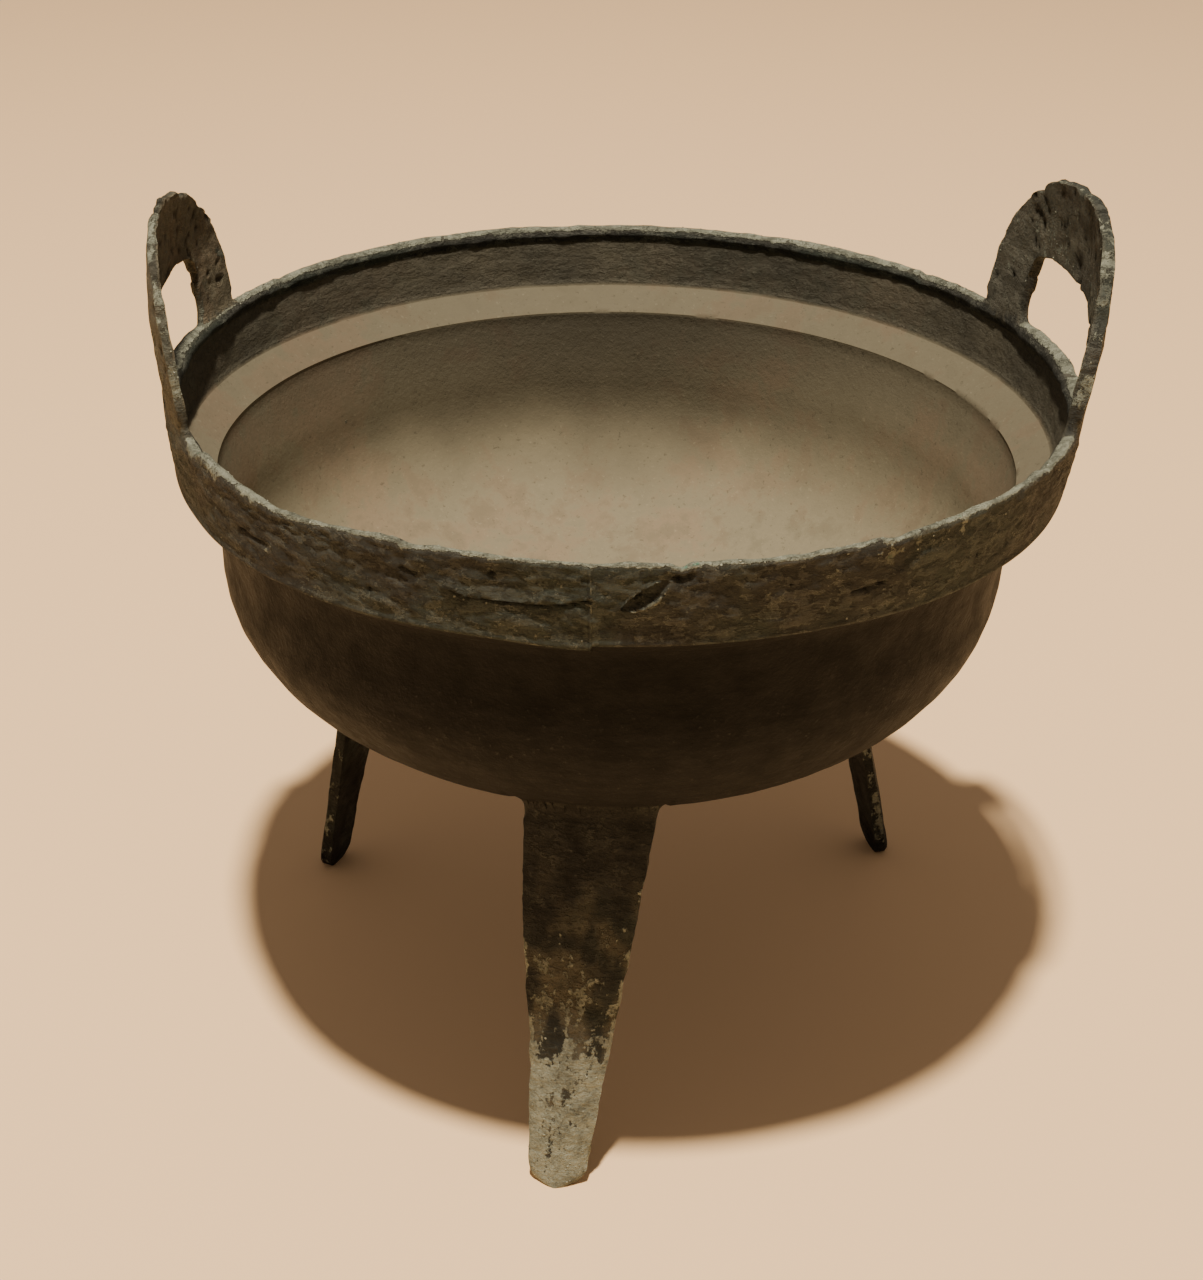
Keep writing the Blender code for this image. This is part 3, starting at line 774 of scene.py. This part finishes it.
def apply_modifiers(obj):
    """Gives an object the mesh that its modifiers make of it."""
    evaluated = obj.evaluated_get(bpy.context.evaluated_depsgraph_get())
    mesh = bpy.data.meshes.new_from_object(evaluated)
    obj.modifiers.clear()
    obj.data = mesh
    return mesh


def cast_together(body, limbs):
    """Joins the parts into one closed casting with soft corners where the limbs meet the body."""
    sources = [body] + limbs
    places = np.concatenate([places_of(obj.data) for obj in sources])
    marks = np.concatenate([read_marks(obj.data) for obj in sources])
    for limb in limbs:
        modifier = body.modifiers.new(limb.name, "BOOLEAN")
        modifier.operation = "UNION"
        modifier.solver = "MANIFOLD"
        modifier.object = limb
    body_faces = len(body.data.polygons)
    mesh = apply_modifiers(body)
    if len(mesh.polygons) < body_faces:
        raise RuntimeError("the union of the body, ears and legs lost a part of the casting")
    for limb in limbs:
        bpy.data.objects.remove(limb, do_unlink=True)
    tree = kdtree.KDTree(len(places))
    for index, place in enumerate(places.tolist()):
        tree.insert(place, index)
    tree.balance()
    found = [tree.find(vertex.co) for vertex in mesh.vertices]
    carried = marks[[hit[1] for hit in found]]
    new = [index for index, hit in enumerate(found) if hit[2] > 1e-6]
    carried[new, MARKS.index("crust")] *= 0.3
    soften_joints(mesh, new)
    for column, mark in enumerate(MARKS):
        layer = mesh.attributes.get(mark) or mesh.attributes.new(mark, "FLOAT", "POINT")
        layer.data.foreach_set("value", np.ascontiguousarray(carried[:, column]))
    return body


def soften_joints(mesh, seam):
    """Smooths the skin close to the lines where the limbs meet the body."""
    build = bmesh.new()
    build.from_mesh(mesh)
    build.verts.ensure_lookup_table()
    near = {build.verts[index] for index in seam}
    for _ in range(3):
        near |= {edge.other_vert(vertex) for vertex in near for edge in vertex.link_edges}
    near = [vertex for vertex in near if vertex.co.z > 0.01]
    every_way = {"use_axis_x": True, "use_axis_y": True, "use_axis_z": True}
    for _ in range(6):
        bmesh.ops.smooth_vert(build, verts=near, factor=0.5, **every_way)
    build.to_mesh(mesh)
    build.free()


def keep_in_box(mesh):
    """Moves the casting from its own axis to the frame's and holds it in the box of the solid."""
    places = places_of(mesh)
    places[:, 0] += AXIS_X
    places = np.clip(places, np.array(CAD_LOW), np.array(CAD_HIGH))
    mesh.vertices.foreach_set("co", np.ascontiguousarray(places, np.float32).reshape(-1))
    mesh.update()


def add(tree, kind, inputs=None, **settings):
    """Adds a node, sets its options and gives its inputs values or links."""
    node = tree.nodes.new(kind)
    for name, value in settings.items():
        setattr(node, name, value)
    for socket, value in (inputs or {}).items():
        if isinstance(value, bpy.types.NodeSocket):
            tree.links.new(value, node.inputs[socket])
        else:
            node.inputs[socket].default_value = value
    return node


def new_material(name):
    """A material with its node tree and its shader."""
    material = bpy.data.materials.new(name)
    material.use_nodes = True
    return material, material.node_tree, material.node_tree.nodes["Principled BSDF"]


def mark(tree, name):
    """The value of one of the casting's marks."""
    return add(tree, "ShaderNodeAttribute", attribute_name=name).outputs["Fac"]


def calc(tree, operation, first, second=0.0, third=0.0):
    """A sum, product or other calculation with numbers or sockets."""
    node = add(tree, "ShaderNodeMath", {0: first, 1: second, 2: third}, operation=operation)
    return node.outputs[0]


def total(tree, *terms):
    """Sum of values, each times its weight."""
    result = 0.0
    for value, weight in terms:
        result = calc(tree, "MULTIPLY_ADD", value, weight, result)
    return result


def grain(tree, scale, detail=3.0, roughness=0.6, stretch=None):
    """Noise in the object's own space, from 0 to 1; the scale counts forms in a metre."""
    place = add(tree, "ShaderNodeTexCoord").outputs["Object"]
    if stretch:
        place = add(tree, "ShaderNodeMapping", {"Vector": place, "Scale": stretch}).outputs[0]
    node = add(tree, "ShaderNodeTexNoise",
               {"Vector": place, "Scale": scale, "Detail": detail, "Roughness": roughness})
    return node.outputs["Fac"]


def spread(tree, value, low, high, out_low=0.0, out_high=1.0):
    """Stretches the part of a value between low and high over a new range, with soft ends."""
    node = add(tree, "ShaderNodeMapRange",
               {"Value": value, "From Min": low, "From Max": high, "To Min": out_low, "To Max": out_high},
               interpolation_type="SMOOTHSTEP")
    return node.outputs[0]


def mix(tree, share, first, second):
    """Colour between two colours or sockets."""
    return add(tree, "ShaderNodeMix", {0: share, 6: first, 7: second}, data_type="RGBA").outputs[2]


def layered(tree, colour, *layers):
    """Lays colours over a first one, each by (value, low, high, share at low, share at high, colour)."""
    for value, low, high, least, most, upper in layers:
        colour = mix(tree, spread(tree, value, low, high, least, most), colour, upper)
    return colour


def solid(colour, share=1.0):
    """A colour property as a shader colour, made darker or lighter by a share."""
    return (colour[0] * share, colour[1] * share, colour[2] * share, 1.0)


CORD_SPACING = 0.00095       # between the fine ridges round the holes of the ears
WAVE_RINGS = 20.0            # rings that a wave texture of scale 1 draws in a full turn of its radius


def cord_rings(tree):
    """Fine uneven ridges in arcs round the middle of the rim, as on the inner faces of the ears."""
    place = add(tree, "ShaderNodeTexCoord").outputs["Object"]
    arcs = add(tree, "ShaderNodeMapping", {"Vector": place, "Location": (0.0, 0.0, -RIM_HEIGHT)}).outputs[0]
    wave = add(tree, "ShaderNodeTexWave",
               {"Vector": arcs, "Scale": 2.0 * math.pi / (WAVE_RINGS * CORD_SPACING), "Distortion": 6.0,
                "Detail": 2.0, "Detail Scale": 0.6}, wave_type="RINGS", rings_direction="X")
    return calc(tree, "MULTIPLY", mark(tree, "cords"), wave.outputs["Fac"])


def patina_material(look):
    """Old bronze: black-brown outside, brown flaked collar, dusty inside, grey-green crust, green spots."""
    material, tree, shader = new_material("patinated_bronze")
    broad = grain(tree, 24.0, 3.0, 0.55)
    middle = grain(tree, 110.0, 5.0, 0.65)
    fine = grain(tree, 620.0, 4.0, 0.7)
    speck = grain(tree, 330.0, 4.0, 0.7, (1.0, 1.0, 0.6))
    brushed = grain(tree, 90.0, 5.0, 0.65, (1.0, 1.0, 5.0))
    plates = grain(tree, 165.0, 9.0, 0.72, (1.0, 1.0, 1.9))
    plate = spread(tree, plates, 0.47, 0.53)
    rims = spread(tree, calc(tree, "ABSOLUTE", calc(tree, "SUBTRACT", plates, 0.53)), 0.0, 0.012, 1.0, 0.0)
    rims = calc(tree, "MULTIPLY", rims, spread(tree, middle, 0.46, 0.58, 0.0, 0.85))

    bronze = layered(tree, solid(look.bronze),
                     (brushed, 0.40, 0.75, 0.0, 1.0, solid(look.bronze, 2.1)),
                     (fine, 0.60, 0.74, 0.0, 0.5, solid(look.collar, 0.9)))
    brown = layered(tree, mix(tree, plate, solid(look.collar, 0.64), solid(look.collar, 1.06)),
                    (middle, 0.45, 0.70, 0.0, 0.5, solid(look.collar, 1.5)),
                    (broad, 0.42, 0.60, 0.0, 0.13, solid(look.verdigris, 0.60)),
                    (fine, 0.36, 0.48, 0.5, 0.0, solid(look.collar, 0.45)),
                    (fine, 0.60, 0.70, 0.0, 0.4, solid(look.crust, 0.70)))
    brown = mix(tree, rims, brown, solid(look.crust, 0.9))
    colour = mix(tree, mark(tree, "brown"), bronze, brown)

    blotches = total(tree, (broad, 0.55), (middle, 0.45))
    dust = layered(tree, solid(look.dust),
                   (blotches, 0.48, 0.56, 0.0, 1.0, solid(look.dust_patches)),
                   (middle, 0.42, 0.66, 0.0, 0.55, solid(look.dust, 0.66)),
                   (fine, 0.60, 0.72, 0.0, 0.5, solid(look.dust, 1.35)),
                   (fine, 0.30, 0.40, 0.6, 0.0, solid(look.dust, 0.45)))
    dusty = calc(tree, "MULTIPLY", mark(tree, "dust"), spread(tree, middle, 0.35, 0.65, 0.90, 1.10))
    dusty = add(tree, "ShaderNodeClamp", {0: dusty}).outputs[0]
    colour = mix(tree, dusty, colour, dust)

    crust = layered(tree, solid(look.crust),
                    (middle, 0.40, 0.68, 0.0, 1.0, solid(look.crust, 0.55)),
                    (fine, 0.55, 0.70, 0.0, 0.6, solid(look.crust, 1.35)),
                    (fine, 0.30, 0.42, 0.75, 0.0, solid(look.crust, 0.22)))
    jagged = total(tree, (middle, 0.9), (speck, 1.5), (fine, 0.6))
    # the crust share also brings in the painted highlights, in the crust's pale colours
    crust_and_highlight_share = spread(tree, calc(tree, "ADD", mark(tree, "crust"), jagged), 1.98, 2.10)
    green = spread(tree, calc(tree, "ADD", mark(tree, "verdigris"), jagged), 2.30, 2.55)
    colour = mix(tree, crust_and_highlight_share, colour, crust)
    colour = mix(tree, green, colour, solid(look.verdigris))
    # painted shade: the marked places are darkened towards near-black bronze
    colour = mix(tree, calc(tree, "MULTIPLY", mark(tree, "painted_shade"), 0.9), colour, solid(look.bronze, 0.4))
    tree.links.new(colour, shader.inputs["Base Color"])

    dull = calc(tree, "MAXIMUM", dusty, crust_and_highlight_share)
    polish = spread(tree, middle, 0.3, 0.7, 0.55, 0.72)
    roughness = add(tree, "ShaderNodeMix", {0: dull, 2: polish, 3: 0.88}, data_type="FLOAT").outputs[0]
    tree.links.new(roughness, shader.inputs["Roughness"])
    shader.inputs["Metallic"].default_value = 0.0
    shader.inputs["Specular IOR Level"].default_value = 0.10

    flaked = total(tree, (plate, 0.35), (plates, 3.1))
    grit = spread(tree, dusty, 0.2, 0.8, 0.40, 0.10)
    relief = total(tree, (middle, 0.22), (fine, grit), (cord_rings(tree), 0.22),
                   (flaked, mark(tree, "brown")), (calc(tree, "ADD", middle, fine), crust_and_highlight_share))
    bump = add(tree, "ShaderNodeBump", {"Strength": 0.9, "Distance": 0.0010, "Height": relief})
    tree.links.new(bump.outputs[0], shader.inputs["Normal"])
    return material


def grain_material(look):
    """Loose pale corrosion grains."""
    material, tree, shader = new_material("corrosion_grains")
    tint = mix(tree, spread(tree, grain(tree, 160.0), 0.35, 0.65), solid(look.crust, 0.55), solid(look.crust))
    tree.links.new(tint, shader.inputs["Base Color"])
    shader.inputs["Roughness"].default_value = 0.9
    bump = add(tree, "ShaderNodeBump", {"Strength": 0.5, "Distance": 0.0003, "Height": grain(tree, 1500.0)})
    tree.links.new(bump.outputs[0], shader.inputs["Normal"])
    return material


def scatter_tree(material):
    """Node tree that strews flattened grains over the crusted parts of a casting."""
    tree = bpy.data.node_groups.new("corrosion_scatter", "GeometryNodeTree")
    sockets = (("Geometry", "INPUT", "Geometry"), ("Grains per square metre", "INPUT", "Float"),
               ("Grain size", "INPUT", "Float"), ("Seed", "INPUT", "Int"), ("Geometry", "OUTPUT", "Geometry"))
    for name, way, kind in sockets:
        tree.interface.new_socket(name, in_out=way, socket_type="NodeSocket" + kind)
    source = tree.nodes.new("NodeGroupInput").outputs
    crust = add(tree, "GeometryNodeInputNamedAttribute", {"Name": "crust"}, data_type="FLOAT")
    often = calc(tree, "POWER", crust.outputs["Attribute"], 3.0)
    often = calc(tree, "MULTIPLY", often, source["Grains per square metre"])
    points = add(tree, "GeometryNodeDistributePointsOnFaces",
                 {"Mesh": source["Geometry"], "Density": often, "Seed": source["Seed"]},
                 distribute_method="RANDOM")
    ball = add(tree, "GeometryNodeMeshIcoSphere", {"Radius": source["Grain size"], "Subdivisions": 1})
    size = add(tree, "FunctionNodeRandomValue",
               {0: (0.35, 0.35, 0.20), 1: (1.0, 1.0, 0.55), "Seed": source["Seed"]},
               data_type="FLOAT_VECTOR").outputs[0]
    strewn = add(tree, "GeometryNodeInstanceOnPoints",
                 {"Points": points.outputs["Points"], "Instance": ball.outputs["Mesh"],
                  "Rotation": points.outputs["Rotation"], "Scale": size})
    real = add(tree, "GeometryNodeRealizeInstances", {"Geometry": strewn.outputs["Instances"]})
    dressed = add(tree, "GeometryNodeSetMaterial",
                  {"Geometry": real.outputs["Geometry"], "Material": material})
    both = tree.nodes.new("GeometryNodeJoinGeometry")
    tree.links.new(source["Geometry"], both.inputs[0])
    tree.links.new(dressed.outputs["Geometry"], both.inputs[0])
    sink = tree.nodes.new("NodeGroupOutput")
    tree.links.new(both.outputs[0], sink.inputs[0])
    return tree


def colour_setting(name, description, value):
    """A colour that the panel shows."""
    return FloatVectorProperty(name=name, description=description, subtype="COLOR", size=3, default=value,
                               min=0.0, max=1.0)


class DingWear(bpy.types.PropertyGroup):
    """How worn and crusted the casting is."""

    wear: FloatProperty(name="Wear", description="Depth of flakes, chips and ragged edges, 1 as found",
                        default=1.0, min=0.0, max=1.5, subtype="FACTOR")
    grains: FloatProperty(name="Grains", description="Corrosion grains on a square metre of full crust",
                          default=160000.0, min=0.0, max=400000.0)
    grain_size: FloatProperty(name="Grain size", description="Radius of the largest corrosion grains",
                              default=0.0004, min=0.0001, max=0.002, unit="LENGTH", precision=5)
    seed: IntProperty(name="Seed", description="Changes where the grains lie", default=7, min=0)


class DingPatina(bpy.types.PropertyGroup):
    """Colours of the casting."""

    bronze: colour_setting("Bronze", "Dark outside of the bowl", (0.0056, 0.0056, 0.0052))
    collar: colour_setting("Collar", "Brown of the collar and ears", (0.068, 0.070, 0.061))
    dust: colour_setting("Dust", "Dusty inside", (0.230, 0.205, 0.140))
    dust_patches: colour_setting("Dust patches", "Pinkish patches in the dust", (0.244, 0.195, 0.132))
    crust: colour_setting("Crust", "Grey-green corrosion crust", (0.276, 0.290, 0.226))
    verdigris: colour_setting("Verdigris", "Bright green spots", (0.135, 0.260, 0.185))


class DingStage(bpy.types.PropertyGroup):
    """Floor and light."""

    floor: colour_setting("Floor", "Colour of the floor", (0.98, 0.675, 0.375))
    key_power: FloatProperty(name="Key light", description="Power of the lamp above", default=165.0,
                             min=0.0, max=2000.0, unit="POWER")
    key_size: FloatProperty(name="Lamp size", description="Width of the round lamp above", unit="LENGTH",
                            default=0.17, min=0.01, max=2.0)
    fill: FloatProperty(name="Fill", description="Strength of the light from all sides", default=0.24,
                        min=0.0, max=5.0)


class DING_OT_casting(bpy.types.Operator):
    """Build the casting: body, ears and legs in one, with its wear"""

    bl_idname = "ding.casting"
    bl_label = "Casting"

    def execute(self, context):
        wear = context.scene.ding_wear.wear
        body = make_body(wear)
        limbs = [
            make_ear("ear_right", RIGHT_EAR, wear),
            make_ear("ear_left", LEFT_EAR, wear),
            make_leg("leg_front", FRONT_LEG, wear),
            make_leg("leg_right", RIGHT_LEG, wear),
            make_leg("leg_left", LEFT_LEG, wear),
        ]
        casting = cast_together(body, limbs)
        casting.name = "bronze_ding"
        casting.data.name = "bronze_ding"
        casting.data.materials.clear()
        casting.data.materials.append(patina_material(context.scene.ding_patina))
        return {"FINISHED"}


class DING_OT_corrosion(bpy.types.Operator):
    """Strew corrosion grains over the crusted lip, ears and legs"""

    bl_idname = "ding.corrosion"
    bl_label = "Corrosion"

    def execute(self, context):
        casting = bpy.data.objects["bronze_ding"]
        settings = context.scene.ding_wear
        tree = scatter_tree(grain_material(context.scene.ding_patina))
        modifier = casting.modifiers.new("corrosion", "NODES")
        modifier.node_group = tree
        values = {"Grains per square metre": settings.grains, "Grain size": settings.grain_size,
                  "Seed": settings.seed}
        for item in tree.interface.items_tree:
            if item.in_out == "INPUT" and item.name in values:
                modifier[item.identifier] = values[item.name]
        mesh = apply_modifiers(casting)
        keep_in_box(mesh)
        mesh.shade_smooth()
        mesh.set_sharp_from_angle(angle=math.radians(60.0))
        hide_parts("ding_vessel")
        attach(casting, "root")
        return {"FINISHED"}


class DING_OT_stage(bpy.types.Operator):
    """Lay the pale floor, hang the light and set up the camera"""

    bl_idname = "ding.stage"
    bl_label = "Stage"

    def execute(self, context):
        settings = context.scene.ding_stage
        lay_floor(settings)
        hang_light(context.scene, settings)
        set_camera(context.scene)
        return {"FINISHED"}


def lay_floor(settings):
    """A plain pale floor under the feet."""
    mesh = bpy.data.meshes.new("floor")
    reach = 6.0
    mesh.from_pydata([(-reach, -reach, 0.0), (reach, -reach, 0.0), (reach, reach, 0.0), (-reach, reach, 0.0)],
                     [], [(0, 1, 2, 3)])
    floor = put("floor", mesh)
    material, _, shader = new_material("pale_floor")
    shader.inputs["Base Color"].default_value = solid(settings.floor)
    shader.inputs["Roughness"].default_value = 0.85
    mesh.materials.append(material)


# The light comes from above, a little towards the viewer and from the left
LIGHT_TILT = math.radians(11.5)
LIGHT_ASIDE = math.radians(2.0)
LIGHT_DISTANCE = 3.0


def hang_light(scene, settings):
    """One warm lamp overhead and a weak light from all sides."""
    lamp = bpy.data.lights.new("overhead", "AREA")
    lamp.shape = "DISK"
    lamp.size = settings.key_size
    lamp.energy = settings.key_power
    lamp.color = (1.0, 0.88, 0.72)
    holder = put("overhead", lamp)
    towards = Vector((-math.tan(LIGHT_ASIDE), -math.tan(LIGHT_TILT), 1.0))
    holder.location = LIGHT_DISTANCE * towards
    holder.rotation_euler = towards.to_track_quat("Z", "Y").to_euler()
    world = scene.world or bpy.data.worlds.new("studio")
    scene.world = world
    world.use_nodes = True
    back = world.node_tree.nodes["Background"]
    back.inputs["Color"].default_value = (1.0, 0.82, 0.70, 1.0)
    back.inputs["Strength"].default_value = settings.fill


# The camera stands in front, above the rim, and looks down
CAMERA_PLACE = (-0.0070, -0.5275, 0.3947)
CAMERA_PITCH = 0.496
CAMERA_YAW = 0.001
CAMERA_ROLL = -0.001
CAMERA_LENS = 58.38


def set_camera(scene):
    """The camera of the reference view."""
    lens = bpy.data.cameras.new("camera")
    lens.sensor_fit = "VERTICAL"
    lens.sensor_width = 36.0
    lens.sensor_height = 36.0
    lens.lens = CAMERA_LENS
    lens.clip_start = 0.01
    camera = put("camera", lens)
    ahead = Vector((math.sin(CAMERA_YAW) * math.cos(CAMERA_PITCH),
                    math.cos(CAMERA_YAW) * math.cos(CAMERA_PITCH), -math.sin(CAMERA_PITCH)))
    right = Vector((math.cos(CAMERA_YAW), -math.sin(CAMERA_YAW), 0.0))
    up = right.cross(ahead)
    turn = Matrix((right, up, -ahead)).transposed()
    roll = Matrix.Rotation(CAMERA_ROLL, 3, "Z")
    camera.matrix_world = Matrix.Translation(CAMERA_PLACE) @ (turn @ roll).to_4x4()
    scene.camera = camera


class DING_PT_panel(bpy.types.Panel):
    """Settings and steps of the ding"""

    bl_label = "Bronze Ding"
    bl_idname = "DING_PT_panel"
    bl_space_type = "VIEW_3D"
    bl_region_type = "UI"
    bl_category = "Ding"

    def draw(self, context):
        layout = self.layout
        for group in ("ding_wear", "ding_patina", "ding_stage"):
            box = layout.box()
            settings = getattr(context.scene, group)
            for name in type(settings).__annotations__:
                box.prop(settings, name)
        for operator in OPERATORS:
            layout.operator(operator.bl_idname)


SETTINGS = {"ding_wear": DingWear, "ding_patina": DingPatina, "ding_stage": DingStage}
OPERATORS = (DING_OT_casting, DING_OT_corrosion, DING_OT_stage)


def register():
    """Adds the settings, the steps and the panel to Blender."""
    for group in SETTINGS.values():
        bpy.utils.register_class(group)
    for operator in OPERATORS:
        bpy.utils.register_class(operator)
    bpy.utils.register_class(DING_PT_panel)
    for name, group in SETTINGS.items():
        setattr(bpy.types.Scene, name, PointerProperty(type=group))


def unregister():
    """Takes them out again."""
    for name in SETTINGS:
        delattr(bpy.types.Scene, name)
    bpy.utils.unregister_class(DING_PT_panel)
    for operator in reversed(OPERATORS):
        bpy.utils.unregister_class(operator)
    for group in reversed(list(SETTINGS.values())):
        bpy.utils.unregister_class(group)


def main():
    """Builds the ding on its stage."""
    register()
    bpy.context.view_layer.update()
    bpy.ops.ding.casting()
    bpy.ops.ding.corrosion()
    bpy.ops.ding.stage()


if __name__ == "__main__":
    main()
